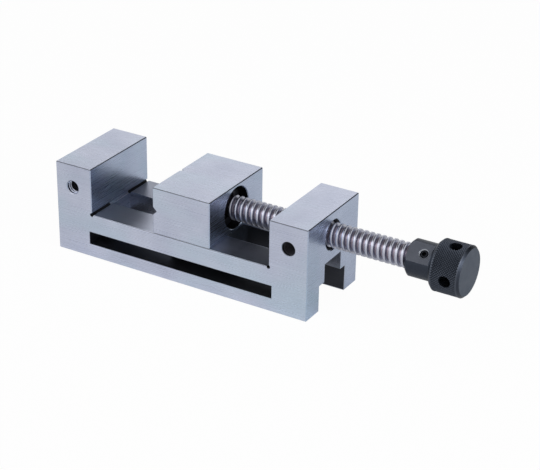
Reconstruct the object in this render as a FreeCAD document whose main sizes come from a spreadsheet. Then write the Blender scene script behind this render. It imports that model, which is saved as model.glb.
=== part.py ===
import FreeCAD, Part
import math
import os
import Sketcher

# A toolmaker's grinding vise: one ground steel body with a fixed jaw, two ways and a
# screw block, a sliding jaw held down by a keeper plate under the ways, and a lead screw
# with a round knob. All lengths are millimetres and all angles degrees.
# The origin is the centre of the body's underside. +X runs along the ways towards the
# knob, +Z is up, and the screw lies over the centre line.

DIMENSIONS = {
    # vise body
    "body_length": (147.5, "outer end of the fixed jaw to the rear face"),
    "body_width": (50.0, "width over the side faces"),
    "body_height": (49.0, "underside to the jaw tops"),
    "way_height": (24.0, "underside to the top of the ways"),
    "fixed_jaw_thickness": (21.5, "fixed jaw along the ways"),
    "screw_block_thickness": (21.5, "screw block along the ways"),
    "channel_width": (26.0, "wide lower part of the inverted T slot"),
    "channel_height": (14.2, "underside of the ways above the base"),
    "slot_width": (16.0, "narrow upper part of the T slot, between the ways"),
    "strap_slot_floor": (7.2, "lower edge of the strap clamp slots"),
    "strap_slot_front": (19.7, "outer end of the fixed jaw to the strap slots"),
    "strap_slot_rear": (19.5, "strap slots to the rear face"),
    "relief_radius": (1.0, "grinding relief in the two inner corners"),
    "edge_break": (0.4, "chamfer on the ground edges"),
    "stop_hole_radius": (3.4, "tapping hole for an M8 work stop screw"),
    "stop_hole_depth": (12.0, "full depth of a work stop hole"),
    "stop_hole_mouth": (0.5, "chamfer at the mouth of a work stop hole"),
    "stop_hole_front": (10.0, "outer end of the fixed jaw to its near work stop hole"),
    "stop_hole_rear": (10.7, "rear face to the near work stop hole in the screw block"),
    # moving jaw
    "jaw_length": (33.4, "moving jaw along the ways"),
    "jaw_opening": (37.6, "gap between the jaws as stored"),
    "tongue_clearance": (0.05, "each side of the guide tongue"),
    "tongue_inset": (1.0, "tongue ends behind the jaw faces"),
    "keeper_gap": (0.05, "running gap under the ways"),
    "vee_depth": (2.5, "depth of the long 90 degree V groove"),
    "upright_vee_depth": (1.8, "depth of the upright 90 degree V groove"),
    # keeper plate and its fasteners
    "keeper_side_gap": (1.0, "keeper plate to the channel wall"),
    "keeper_inset": (2.0, "keeper plate ends behind the jaw faces"),
    "keeper_thickness": (8.5, "keeper plate"),
    "keeper_chamfer": (0.5, "edges of the keeper plate"),
    "keeper_screw_spacing": (18.0, "between the two keeper screws"),
    "keeper_screw_radius": (2.5, "M5 shank"),
    "keeper_screw_length": (12.0, "under the head"),
    "keeper_head_radius": (4.25, "socket head"),
    "keeper_head_height": (5.0, "socket head"),
    "keeper_head_recess": (0.2, "head below the plate's lower face"),
    "keeper_head_gap": (0.5, "around the head in its counterbore"),
    "keeper_hex": (4.0, "across the flats of the socket"),
    "keeper_hex_depth": (2.5, "depth of the socket"),
    "keeper_washer_thickness": (1.1, "spring washer"),
    "keeper_washer_slit": (1.0, "slit in the spring washer"),
    "keeper_hole_gap": (0.25, "around the shank in the plate and washer"),
    "thread_hole_gap": (0.03, "around a screw in its own thread"),
    "keeper_tip_room": (1.0, "beyond the screw's tip in the tongue"),
    # lead screw and its thrust bearing in the moving jaw
    "screw_height": (36.5, "screw axis above the base"),
    "thread_radius": (6.35, "crest of the lead screw's thread"),
    "neck_radius": (4.75, "plain neck, as deep as the thread's root"),
    "neck_end": (2.5, "thread starts this far inside the moving jaw"),
    "thread_clearance": (0.05, "around the crests in the screw block"),
    "screw_reach": (97.0, "rear of the moving jaw to the knob"),
    "collar_radius": (9.0, "thrust collar"),
    "collar_thickness": (4.0, "thrust collar"),
    "collar_float": (0.05, "end float at each face of the collar"),
    "nose_radius": (4.0, "pilot nose"),
    "nose_length": (5.5, "pilot nose inside its bore"),
    "nose_clearance": (0.04, "around the pilot nose"),
    "nose_room": (0.5, "beyond the nose in its bore"),
    "screw_chamfer": (0.5, "edges of the nose, collar and spigot"),
    "thread_lead_in": (1.2, "chamfer where the thread begins"),
    "spigot_radius": (4.5, "end of the screw inside the knob"),
    "spigot_length": (18.0, "end of the screw inside the knob"),
    "spigot_flat": (4.2, "axis to the flat under the set screw"),
    "block_entry_radius": (8.2, "chamfer of the threaded bore, rear face"),
    "block_inner_entry": (1.0, "chamfer of the threaded bore, inner face"),
    "thrust_bore_radius": (11.0, "bore in the rear of the moving jaw"),
    "ring_recess": (5.2, "rear of the moving jaw to the retaining ring"),
    "ring_thickness": (5.0, "retaining ring"),
    "ring_fit": (0.03, "around the retaining ring"),
    "ring_bore_gap": (0.25, "between the thread's crest and the ring"),
    "ring_chamfer": (0.4, "edges of the retaining ring"),
    "spanner_hole_radius": (1.0, "pin spanner holes in the ring"),
    "spanner_hole_depth": (3.0, "pin spanner holes in the ring"),
    "washer_thickness": (1.5, "thrust washers"),
    "washer_rim_gap": (0.2, "around the thrust washers"),
    "washer_bore_gap": (0.3, "around the nose in the front washer"),
    # knob
    "hub_radius": (9.2, "hub of the knob"),
    "hub_length": (14.0, "hub of the knob"),
    "head_radius": (12.8, "knurled head of the knob"),
    "head_length": (15.8, "knurled head of the knob"),
    "knob_chamfer": (1.2, "edges of the knob"),
    "spigot_fit": (0.02, "around the spigot in the knob"),
    "spigot_room": (0.5, "beyond the spigot in the knob"),
    "tommy_radius": (3.0, "cross holes for a tommy bar"),
    "tommy_from_shoulder": (8.8, "shoulder of the head to the cross holes"),
    "tommy_angle": (7.0, "first cross hole from upright, about the screw axis"),
    "flat_angle": (39.0, "set screw from upright, about the screw axis"),
    "flat_distance": (7.5, "axis to the flat on the hub"),
    "flat_length": (12.5, "length of the flat on the hub"),
    "set_screw_place": (8.3, "end of the hub to the set screw"),
    "set_screw_radius": (2.0, "M4 set screw"),
    "set_screw_recess": (0.3, "set screw below the flat"),
    "set_screw_hex": (2.0, "across the flats of its socket"),
    "set_screw_hex_depth": (1.5, "depth of its socket"),
    "set_screw_chamfer": (0.4, "edges of the set screw"),
}

SHEET_NAME = "dims"
FULL_TURN = 360


class Size:
    """A number together with the sheet expression that gives it."""

    def __init__(self, value, text):
        self.value = float(value)
        self.text = text

    def _combine(self, other, sign, result, swapped=False):
        first, second = (wrap(other), self) if swapped else (self, wrap(other))
        return Size(result, f"({first.text} {sign} {second.text})")

    def __add__(self, other):
        return self._combine(other, "+", self.value + wrap(other).value)

    def __radd__(self, other):
        return self._combine(other, "+", wrap(other).value + self.value, swapped=True)

    def __sub__(self, other):
        return self._combine(other, "-", self.value - wrap(other).value)

    def __rsub__(self, other):
        return self._combine(other, "-", wrap(other).value - self.value, swapped=True)

    def __mul__(self, other):
        return self._combine(other, "*", self.value * wrap(other).value)

    def __rmul__(self, other):
        return self._combine(other, "*", wrap(other).value * self.value, swapped=True)

    def __truediv__(self, other):
        return self._combine(other, "/", self.value / wrap(other).value)

    def __neg__(self):
        return Size(-self.value, f"(0 - {self.text})")


def wrap(number):
    """A plain number as a Size, and a Size as it is."""
    if isinstance(number, Size):
        return number
    return Size(number, f"{number:.9g}")


class Dimensions:
    """The driving dimensions, read by their names from the sheet."""

    def __init__(self, document):
        self.sheet = document.addObject("Spreadsheet::Sheet", SHEET_NAME)
        for row, (name, (value, note)) in enumerate(DIMENSIONS.items(), start=1):
            self.sheet.set(f"A{row}", name)
            self.sheet.set(f"B{row}", str(value))
            self.sheet.set(f"C{row}", note)
            self.sheet.setAlias(f"B{row}", name)
        document.recompute()

    def __getattr__(self, name):
        if name not in DIMENSIONS:
            raise AttributeError(name)
        return Size(self.sheet.get(name), f"{SHEET_NAME}.{name}")


def origin_part(body, role):
    """The body's own origin plane or axis with this role."""
    for feature in body.Origin.OriginFeatures:
        if feature.Role == role:
            return feature
    raise LookupError(role)


def new_body(document, label, across=0, along=0, up=0, turn=0):
    """A body placed in the vise's frame and turned about the screw's direction."""
    body = document.addObject("PartDesign::Body", label)
    body.Label = label
    place = [wrap(across), wrap(along), wrap(up)]
    turn = wrap(turn)
    turned = FreeCAD.Rotation(FreeCAD.Vector(1, 0, 0), turn.value)
    body.Placement = FreeCAD.Placement(FreeCAD.Vector(*[p.value for p in place]), turned)
    for axis, size in zip("xyz", place):
        body.setExpression(f"Placement.Base.{axis}", size.text)
    if turn.value:
        body.setExpression("Placement.Rotation.Angle", turn.text)
    return body


def new_sketch(body, role, name, offset=(0, 0, 0), turn=0, about=(1, 0, 0)):
    """A sketch on one of the body's origin planes, moved and turned in that plane's axes."""
    sketch = body.newObject("Sketcher::SketchObject", name)
    sketch.AttachmentSupport = (origin_part(body, role), [""])
    sketch.MapMode = "FlatFace"
    place = [wrap(size) for size in offset]
    turn = wrap(turn)
    sketch.AttachmentOffset = FreeCAD.Placement(
        FreeCAD.Vector(*[size.value for size in place]),
        FreeCAD.Rotation(FreeCAD.Vector(*about), turn.value),
    )
    for axis, size in zip("xyz", place):
        sketch.setExpression(f"AttachmentOffset.Base.{axis}", size.text)
    if turn.value:
        sketch.setExpression("AttachmentOffset.Rotation.Angle", turn.text)
    return sketch


def tie(sketch, kind, references, size, name):
    """A sketch dimension that follows its sheet expression."""
    index = sketch.addConstraint(Sketcher.Constraint(kind, *references, size.value))
    sketch.renameConstraint(index, name)
    sketch.setExpression(f"Constraints.{name}", size.text)


def outline(sketch, corners):
    """A closed outline through corners given as pairs of sizes."""
    corners = [(wrap(x), wrap(y)) for x, y in corners]
    points = [FreeCAD.Vector(x.value, y.value, 0) for x, y in corners]
    first = sketch.GeometryCount
    for start, end in zip(points, points[1:] + points[:1]):
        sketch.addGeometry(Part.LineSegment(start, end), False)
    for k, (x, y) in enumerate(corners):
        line = first + k
        following = first + (k + 1) % len(corners)
        sketch.addConstraint(Sketcher.Constraint("Coincident", line, 2, following, 1))
        tie(sketch, "DistanceX", (-1, 1, line, 1), x, f"x_{line}")
        tie(sketch, "DistanceY", (-1, 1, line, 1), y, f"y_{line}")


def rectangle(sketch, low, high):
    """An upright rectangle between two corners."""
    (x0, y0), (x1, y1) = low, high
    outline(sketch, [(x0, y0), (x1, y0), (x1, y1), (x0, y1)])


def circle(sketch, x, y, radius):
    """A circle with its centre at a pair of sizes."""
    x, y, radius = wrap(x), wrap(y), wrap(radius)
    centre = FreeCAD.Vector(x.value, y.value, 0)
    normal = FreeCAD.Vector(0, 0, 1)
    index = sketch.addGeometry(Part.Circle(centre, normal, radius.value), False)
    tie(sketch, "DistanceX", (-1, 1, index, 3), x, f"x_{index}")
    tie(sketch, "DistanceY", (-1, 1, index, 3), y, f"y_{index}")
    tie(sketch, "Radius", (index,), radius, f"r_{index}")


def hexagon(sketch, across_flats):
    """A regular hexagon about the sketch's origin."""
    corner_radius = across_flats / math.sqrt(3)
    turns = [math.radians(60 * k) for k in range(6)]
    outline(sketch, [(corner_radius * math.cos(t), corner_radius * math.sin(t)) for t in turns])


def extrude(body, kind, name, sketch, length=None, both=False, forward=True):
    """A pad or pocket of a sketch, along its normal or against it, or to both sides."""
    feature = body.newObject(f"PartDesign::{kind}", name)
    feature.Profile = sketch
    if both:
        feature.SideType = "Symmetric"
    if length is None:
        feature.Type = "ThroughAll"
    else:
        feature.Length = length.value
        feature.setExpression("Length", length.text)
    feature.Reversed = forward if kind == "Pocket" else not forward
    sketch.Visibility = False
    return feature


def turn_about(body, kind, name, sketch, axis="H_Axis"):
    """A revolution or groove of a sketch about one of its own axes."""
    feature = body.newObject(f"PartDesign::{kind}", name)
    feature.Profile = sketch
    feature.ReferenceAxis = (sketch, [axis])
    feature.Angle = FULL_TURN
    sketch.Visibility = False
    return feature


def break_edges(body, name, base, size, chosen):
    """A chamfer on the edges of the base feature that pass a test."""
    body.Document.recompute()
    edges = [f"Edge{k}" for k, edge in enumerate(base.Shape.Edges, start=1) if chosen(edge)]
    feature = body.newObject("PartDesign::Chamfer", name)
    feature.Base = (base, edges)
    feature.Size = size.value
    feature.setExpression("Size", size.text)
    return feature


def close(a, b):
    """Whether two numbers are the same size."""
    return abs(a - b) < 1e-6


def middle(edge):
    """The middle of an edge's box."""
    return edge.BoundBox.Center


def make_vise_body(document, d):
    """Fixed jaw, ways and screw block ground from one bar, with its slots and holes."""
    body = new_body(document, "vise_body")
    half_length = d.body_length / 2
    jaw_face = d.fixed_jaw_thickness - half_length
    block_face = half_length - d.screw_block_thickness

    profile = new_sketch(body, "XZ_Plane", "side_profile")
    outline(
        profile,
        [
            (-half_length, 0),
            (half_length, 0),
            (half_length, d.body_height),
            (block_face, d.body_height),
            (block_face, d.way_height),
            (jaw_face, d.way_height),
            (jaw_face, d.body_height),
            (-half_length, d.body_height),
        ],
    )
    bar = extrude(body, "Pad", "ground_bar", profile, d.body_width, both=True)

    def outer_edge(edge):
        centre = middle(edge)
        inner_corner = close(centre.z, d.way_height.value) and edge.BoundBox.XLength < 1e-6
        return not inner_corner

    break_edges(body, "broken_edges", bar, d.edge_break, outer_edge)

    # The inverted T slot runs in from the rear face and stops at the fixed jaw.
    slot = new_sketch(body, "YZ_Plane", "tee_slot", offset=(0, 0, half_length))
    wide, narrow = d.channel_width / 2, d.slot_width / 2
    outline(
        slot,
        [
            (-wide, 0),
            (wide, 0),
            (wide, d.channel_height),
            (narrow, d.channel_height),
            (narrow, d.way_height),
            (-narrow, d.way_height),
            (-narrow, d.channel_height),
            (-wide, d.channel_height),
        ],
    )
    slot_length = d.body_length - d.fixed_jaw_thickness
    extrude(body, "Pocket", "tee_slot_cut", slot, slot_length, forward=False)

    # Strap clamp slots go through both side walls into the T slot.
    straps = new_sketch(body, "XZ_Plane", "strap_slots")
    rectangle(
        straps,
        (d.strap_slot_front - half_length, d.strap_slot_floor),
        (half_length - d.strap_slot_rear, d.channel_height),
    )
    extrude(body, "Pocket", "strap_slot_cut", straps, both=True)

    relief = new_sketch(body, "XZ_Plane", "corner_reliefs")
    for corner in (jaw_face, block_face):
        circle(relief, corner, d.way_height, d.relief_radius)
    extrude(body, "Pocket", "corner_relief_cut", relief, both=True)

    # The threaded bore is drawn at the crest of the thread, open at both faces.
    bore = new_sketch(body, "XZ_Plane", "screw_bore", offset=(0, d.screw_height, 0))
    radius = d.thread_radius + d.thread_clearance
    outline(
        bore,
        [
            (block_face, 0),
            (half_length, 0),
            (half_length, d.block_entry_radius),
            (half_length - (d.block_entry_radius - radius), radius),
            (block_face + d.block_inner_entry, radius),
            (block_face, radius + d.block_inner_entry),
        ],
    )
    turn_about(body, "Groove", "screw_bore_cut", bore)

    # Work stop holes lie at screw height in both side faces of both end blocks. The far
    # side is drilled in the same fixture, with the body turned end for end.
    side = d.body_width / 2
    near_places = (d.stop_hole_front - half_length, half_length - d.stop_hole_rear)
    far_places = [-place for place in near_places]
    for side_name, depth_sign, places in (("near", 1, near_places), ("far", -1, far_places)):
        holes = new_sketch(
            body, "XZ_Plane", f"{side_name}_stop_holes", offset=(0, 0, depth_sign * side)
        )
        for place in places:
            circle(holes, place, d.screw_height, d.stop_hole_radius)
        drilled = extrude(
            body,
            "Pocket",
            f"{side_name}_stop_hole_cut",
            holes,
            d.stop_hole_depth,
            forward=depth_sign < 0,
        )

    def hole_mouth(edge):
        on_side = close(abs(middle(edge).y), side.value)
        round_edge = isinstance(edge.Curve, Part.Circle)
        return on_side and round_edge and close(edge.Curve.Radius, d.stop_hole_radius.value)

    break_edges(body, "stop_hole_mouths", drilled, d.stop_hole_mouth, hole_mouth)
    return body


def jaw_place(d):
    """The gripping face of the moving jaw along the vise."""
    return d.fixed_jaw_thickness + d.jaw_opening - d.body_length / 2


def thrust_bore_depth(d):
    """Depth of the bore that holds the ring, two washers and the collar."""
    bearing = d.collar_thickness + 2 * d.collar_float + 2 * d.washer_thickness
    return d.ring_recess + d.ring_thickness + bearing


def make_moving_jaw(document, d):
    """The sliding jaw with its guide tongue, V grooves and thrust bearing bore."""
    body = new_body(document, "moving_jaw", across=jaw_place(d), up=d.way_height)
    jaw_height = d.body_height - d.way_height
    axis_height = d.screw_height - d.way_height

    block = new_sketch(body, "XZ_Plane", "block")
    rectangle(block, (0, 0), (d.jaw_length, jaw_height))
    solid = extrude(body, "Pad", "ground_block", block, d.body_width, both=True)
    break_edges(body, "broken_edges", solid, d.edge_break, lambda edge: True)

    tongue = new_sketch(body, "XZ_Plane", "tongue")
    drop = d.way_height - d.channel_height + d.keeper_gap
    rectangle(tongue, (d.tongue_inset, -drop), (d.jaw_length - d.tongue_inset, 0))
    tongue_width = d.slot_width - 2 * d.tongue_clearance
    extrude(body, "Pad", "guide_tongue", tongue, tongue_width, both=True)

    # A long and an upright V groove hold round work against the fixed jaw.
    vee = new_sketch(body, "XZ_Plane", "long_vee")
    outline(
        vee,
        [
            (0, axis_height + d.vee_depth),
            (0, axis_height - d.vee_depth),
            (d.vee_depth, axis_height),
        ],
    )
    extrude(body, "Pocket", "long_vee_cut", vee, both=True)
    upright = new_sketch(body, "XY_Plane", "upright_vee")
    outline(
        upright,
        [
            (0, -d.upright_vee_depth),
            (d.upright_vee_depth, 0),
            (0, d.upright_vee_depth),
        ],
    )
    extrude(body, "Pocket", "upright_vee_cut", upright, forward=True)

    bore = new_sketch(body, "XZ_Plane", "thrust_bore", offset=(d.jaw_length, axis_height, 0))
    depth = thrust_bore_depth(d)
    pilot = d.nose_radius + d.nose_clearance
    outline(
        bore,
        [
            (0, 0),
            (0, d.thrust_bore_radius + d.edge_break),
            (-d.edge_break, d.thrust_bore_radius),
            (-depth, d.thrust_bore_radius),
            (-depth, pilot),
            (-depth - d.nose_length - d.nose_room, pilot),
            (-depth - d.nose_length - d.nose_room, 0),
        ],
    )
    turn_about(body, "Groove", "thrust_bore_cut", bore)

    holes = new_sketch(body, "XY_Plane", "keeper_screw_holes", offset=(0, 0, -drop))
    for side in (-1, 1):
        place = d.jaw_length / 2 + side * d.keeper_screw_spacing / 2
        circle(holes, place, 0, d.keeper_screw_radius + d.thread_hole_gap)
    above_plate = d.keeper_screw_length - keeper_floor(d) - d.keeper_washer_thickness
    depth = above_plate + d.keeper_tip_room
    extrude(body, "Pocket", "keeper_screw_hole_cut", holes, depth, forward=True)
    return body


def keeper_counterbore(d):
    """Depth of the counterbores in the keeper plate."""
    return d.keeper_head_recess + d.keeper_head_height + d.keeper_washer_thickness


def keeper_floor(d):
    """Plate left above the counterbores."""
    return d.keeper_thickness - keeper_counterbore(d)


def keeper_top(d):
    """Top face of the keeper plate, against the tongue."""
    return d.channel_height - d.keeper_gap


def make_keeper_plate(document, d):
    """The plate under the ways that holds the moving jaw down."""
    middle_of_jaw = jaw_place(d) + d.jaw_length / 2
    body = new_body(document, "keeper_plate", across=middle_of_jaw, up=keeper_top(d))
    length = d.jaw_length - 2 * d.keeper_inset
    width = d.channel_width - 2 * d.keeper_side_gap

    plate = new_sketch(body, "XZ_Plane", "plate")
    rectangle(plate, (-length / 2, -d.keeper_thickness), (length / 2, 0))
    solid = extrude(body, "Pad", "plate_pad", plate, width, both=True)
    break_edges(body, "broken_edges", solid, d.keeper_chamfer, lambda edge: True)

    seats = new_sketch(body, "XY_Plane", "head_seats", offset=(0, 0, -d.keeper_thickness))
    holes = new_sketch(body, "XY_Plane", "screw_holes", offset=(0, 0, -d.keeper_thickness))
    for side in (-1, 1):
        place = side * d.keeper_screw_spacing / 2
        circle(seats, place, 0, d.keeper_head_radius + d.keeper_head_gap)
        circle(holes, place, 0, d.keeper_screw_radius + d.keeper_hole_gap)
    extrude(body, "Pocket", "head_seat_cut", seats, keeper_counterbore(d), forward=True)
    extrude(body, "Pocket", "screw_hole_cut", holes, forward=True)
    return body


def make_keeper_fasteners(document, d):
    """Two socket head screws, each with a spring washer, from below into the tongue."""
    bodies = []
    seat = keeper_top(d) - keeper_floor(d)
    for name, side in (("front", -1), ("rear", 1)):
        place = jaw_place(d) + d.jaw_length / 2 + side * d.keeper_screw_spacing / 2

        washer = new_body(document, f"keeper_washer_{name}", across=place, up=seat)
        ring = new_sketch(washer, "XY_Plane", "ring")
        circle(ring, 0, 0, d.keeper_head_radius)
        circle(ring, 0, 0, d.keeper_screw_radius + d.keeper_hole_gap)
        extrude(washer, "Pad", "ring_pad", ring, d.keeper_washer_thickness, forward=False)
        slit = new_sketch(washer, "XY_Plane", "slit")
        half_slit = d.keeper_washer_slit / 2
        rectangle(slit, (-half_slit, 0), (half_slit, d.keeper_head_radius))
        extrude(washer, "Pocket", "slit_cut", slit, d.keeper_washer_thickness, forward=False)

        under_head = seat - d.keeper_washer_thickness
        screw = new_body(document, f"keeper_screw_{name}", across=place, up=under_head)
        half = new_sketch(screw, "XZ_Plane", "half_profile")
        rounding = d.keeper_chamfer
        outline(
            half,
            [
                (0, -d.keeper_head_height),
                (d.keeper_head_radius - rounding, -d.keeper_head_height),
                (d.keeper_head_radius, -d.keeper_head_height + rounding),
                (d.keeper_head_radius, 0),
                (d.keeper_screw_radius, 0),
                (d.keeper_screw_radius, d.keeper_screw_length - rounding),
                (d.keeper_screw_radius - rounding, d.keeper_screw_length),
                (0, d.keeper_screw_length),
            ],
        )
        turn_about(screw, "Revolution", "turned_screw", half, axis="V_Axis")
        socket = new_sketch(screw, "XY_Plane", "socket", offset=(0, 0, -d.keeper_head_height))
        hexagon(socket, d.keeper_hex)
        extrude(screw, "Pocket", "socket_cut", socket, d.keeper_hex_depth, forward=True)
        bodies += [washer, screw]
    return bodies


def jaw_rear(d):
    """The rear face of the moving jaw along the vise."""
    return jaw_place(d) + d.jaw_length


def collar_front(d):
    """Front face of the thrust collar along the vise."""
    stack = d.washer_thickness + d.collar_float
    return jaw_rear(d) - thrust_bore_depth(d) + stack


def make_lead_screw(document, d):
    """The lead screw: nose, thrust collar, neck, threaded length and knob spigot."""
    body = new_body(document, "lead_screw", across=collar_front(d), up=d.screw_height)
    nose_tip = -(d.washer_thickness + d.collar_float + d.nose_length)
    to_jaw_rear = thrust_bore_depth(d) - d.washer_thickness - d.collar_float
    thread_start = to_jaw_rear - d.neck_end
    thread_end = to_jaw_rear + d.screw_reach
    tip = thread_end + d.spigot_length
    bevel = d.screw_chamfer

    half = new_sketch(body, "XZ_Plane", "half_profile")
    outline(
        half,
        [
            (nose_tip, 0),
            (nose_tip, d.nose_radius - bevel),
            (nose_tip + bevel, d.nose_radius),
            (0, d.nose_radius),
            (0, d.collar_radius - bevel),
            (bevel, d.collar_radius),
            (d.collar_thickness - bevel, d.collar_radius),
            (d.collar_thickness, d.collar_radius - bevel),
            (d.collar_thickness, d.neck_radius),
            (thread_start, d.neck_radius),
            (thread_start + d.thread_lead_in, d.thread_radius),
            (thread_end, d.thread_radius),
            (thread_end, d.spigot_radius),
            (tip - bevel, d.spigot_radius),
            (tip, d.spigot_radius - bevel),
            (tip, 0),
        ],
    )
    turn_about(body, "Revolution", "turned_bar", half)

    # The set screw of the knob bears on a flat milled along the spigot.
    flat = new_sketch(
        body, "YZ_Plane", "spigot_flat", offset=(0, 0, tip), turn=d.flat_angle, about=(0, 0, 1)
    )
    rectangle(flat, (-d.spigot_radius, d.spigot_flat), (d.spigot_radius, d.spigot_radius))
    extrude(body, "Pocket", "spigot_flat_cut", flat, d.spigot_length, forward=False)
    return body


def make_thrust_bearing(document, d):
    """The retaining ring and the two washers that hold the collar in the jaw."""
    ring = new_body(
        document, "retaining_ring", across=jaw_rear(d) - d.ring_recess, up=d.screw_height
    )
    outer = d.thrust_bore_radius - d.ring_fit
    inner = d.thread_radius + d.ring_bore_gap
    section = new_sketch(ring, "XZ_Plane", "section")
    outline(
        section,
        [
            (-d.ring_thickness, inner),
            (-d.ring_thickness, outer),
            (-d.ring_chamfer, outer),
            (0, outer - d.ring_chamfer),
            (0, inner + d.ring_chamfer),
            (-d.ring_chamfer, inner),
        ],
    )
    turn_about(ring, "Revolution", "turned_ring", section)
    pins = new_sketch(ring, "YZ_Plane", "spanner_hole")
    circle(pins, (outer + inner) / 2, 0, d.spanner_hole_radius)
    hole = extrude(ring, "Pocket", "spanner_hole_cut", pins, d.spanner_hole_depth, forward=False)
    pattern = ring.newObject("PartDesign::PolarPattern", "spanner_holes")
    pattern.Originals = [hole]
    pattern.Axis = (origin_part(ring, "X_Axis"), [""])
    pattern.Angle = FULL_TURN
    pattern.Occurrences = 2
    ring.Tip = pattern

    rear_place = jaw_rear(d) - d.ring_recess - d.ring_thickness - d.washer_thickness
    front_place = jaw_rear(d) - thrust_bore_depth(d)
    rim = d.thrust_bore_radius - d.washer_rim_gap
    washers = []
    for name, place, hole_radius in (
        ("front_thrust_washer", front_place, d.nose_radius + d.washer_bore_gap),
        ("rear_thrust_washer", rear_place, inner),
    ):
        washer = new_body(document, name, across=place, up=d.screw_height)
        face = new_sketch(washer, "YZ_Plane", "face")
        circle(face, 0, 0, rim)
        circle(face, 0, 0, hole_radius)
        extrude(washer, "Pad", "washer_pad", face, d.washer_thickness)
        washers.append(washer)
    return [ring, *washers]


def make_clamp_knob(document, d):
    """The turned knob: hub with its set screw flat, and a head with two cross holes."""
    hub_end = jaw_rear(d) + d.screw_reach
    body = new_body(document, "clamp_knob", across=hub_end, up=d.screw_height)
    bore = d.spigot_radius + d.spigot_fit
    bore_depth = d.spigot_length + d.spigot_room
    end = d.hub_length + d.head_length
    bevel = d.knob_chamfer

    half = new_sketch(body, "XZ_Plane", "half_profile")
    outline(
        half,
        [
            (0, bore),
            (0, d.hub_radius - bevel),
            (bevel, d.hub_radius),
            (d.hub_length, d.hub_radius),
            (d.hub_length, d.head_radius - bevel),
            (d.hub_length + bevel, d.head_radius),
            (end - bevel, d.head_radius),
            (end, d.head_radius - bevel),
            (end, 0),
            (bore_depth, 0),
            (bore_depth, bore),
        ],
    )
    turn_about(body, "Revolution", "turned_knob", half)

    flat = new_sketch(
        body,
        "YZ_Plane",
        "hub_flat",
        offset=(0, 0, d.flat_length),
        turn=d.flat_angle,
        about=(0, 0, 1),
    )
    rectangle(flat, (-d.hub_radius, d.flat_distance), (d.hub_radius, d.hub_radius))
    extrude(body, "Pocket", "hub_flat_cut", flat, d.flat_length, forward=False)

    tapped = new_sketch(body, "XY_Plane", "set_screw_hole", turn=d.flat_angle)
    circle(tapped, d.set_screw_place, 0, d.set_screw_radius + d.thread_hole_gap)
    extrude(body, "Pocket", "set_screw_hole_cut", tapped, d.hub_radius, forward=True)

    cross = new_sketch(body, "XY_Plane", "tommy_hole", turn=d.tommy_angle)
    circle(cross, d.hub_length + d.tommy_from_shoulder, 0, d.tommy_radius)
    drilled = extrude(body, "Pocket", "tommy_hole_cut", cross, both=True)
    pattern = body.newObject("PartDesign::PolarPattern", "tommy_holes")
    pattern.Originals = [drilled]
    pattern.Axis = (origin_part(body, "X_Axis"), [""])
    pattern.Angle = FULL_TURN / 4
    pattern.Occurrences = 2
    body.Tip = pattern
    return body


def make_set_screw(document, d):
    """The socket set screw between the hub's flat and the spigot's flat."""
    place = jaw_rear(d) + d.screw_reach + d.set_screw_place
    body = new_body(
        document, "knob_set_screw", across=place, up=d.screw_height, turn=d.flat_angle
    )
    top = d.flat_distance - d.set_screw_recess
    bevel = d.set_screw_chamfer
    half = new_sketch(body, "XZ_Plane", "half_profile")
    outline(
        half,
        [
            (0, d.spigot_flat),
            (d.set_screw_radius - bevel, d.spigot_flat),
            (d.set_screw_radius, d.spigot_flat + bevel),
            (d.set_screw_radius, top - bevel),
            (d.set_screw_radius - bevel, top),
            (0, top),
        ],
    )
    turn_about(body, "Revolution", "turned_screw", half, axis="V_Axis")
    socket = new_sketch(body, "XY_Plane", "socket", offset=(0, 0, top))
    hexagon(socket, d.set_screw_hex)
    extrude(body, "Pocket", "socket_cut", socket, d.set_screw_hex_depth, forward=False)
    return body


def check_document(document, bodies):
    """Stop if any object failed, any cut removed nothing or any solid is broken."""
    failed = [o.Label for o in document.Objects if {"Invalid", "Error"} & set(o.State)]
    if failed:
        raise RuntimeError(f"not computed: {failed}")
    for body in bodies:
        volume = 0
        for feature in body.Group:
            if not feature.isDerivedFrom("PartDesign::Feature"):
                continue
            if feature.Shape.isNull() or not feature.Shape.isValid():
                raise RuntimeError(f"{body.Label}: {feature.Label} has no valid shape")
            if close(feature.Shape.Volume, volume):
                raise RuntimeError(f"{body.Label}: {feature.Label} changes nothing")
            volume = feature.Shape.Volume
        if len(body.Shape.Solids) != 1 or not body.Shape.isValid():
            raise RuntimeError(f"{body.Label} is not one valid solid")


def main():
    """Build every piece, check it and write it to its own file."""
    document = FreeCAD.newDocument("precision_vise")
    dimensions = Dimensions(document)
    bodies = [
        make_vise_body(document, dimensions),
        make_moving_jaw(document, dimensions),
        make_keeper_plate(document, dimensions),
        *make_keeper_fasteners(document, dimensions),
        make_lead_screw(document, dimensions),
        *make_thrust_bearing(document, dimensions),
        make_clamp_knob(document, dimensions),
        make_set_screw(document, dimensions),
    ]
    document.recompute()
    check_document(document, bodies)
    os.makedirs("parts", exist_ok=True)
    for body in bodies:
        body.Shape.exportStep(f"parts/{body.Label}.step")
        print(f"{body.Label}: {body.Shape.Volume / 1000:.2f} cm3")


main()
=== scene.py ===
import logging
import math
from dataclasses import dataclass
from enum import Enum

import bmesh
import bpy
from mathutils import Matrix, Vector


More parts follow.
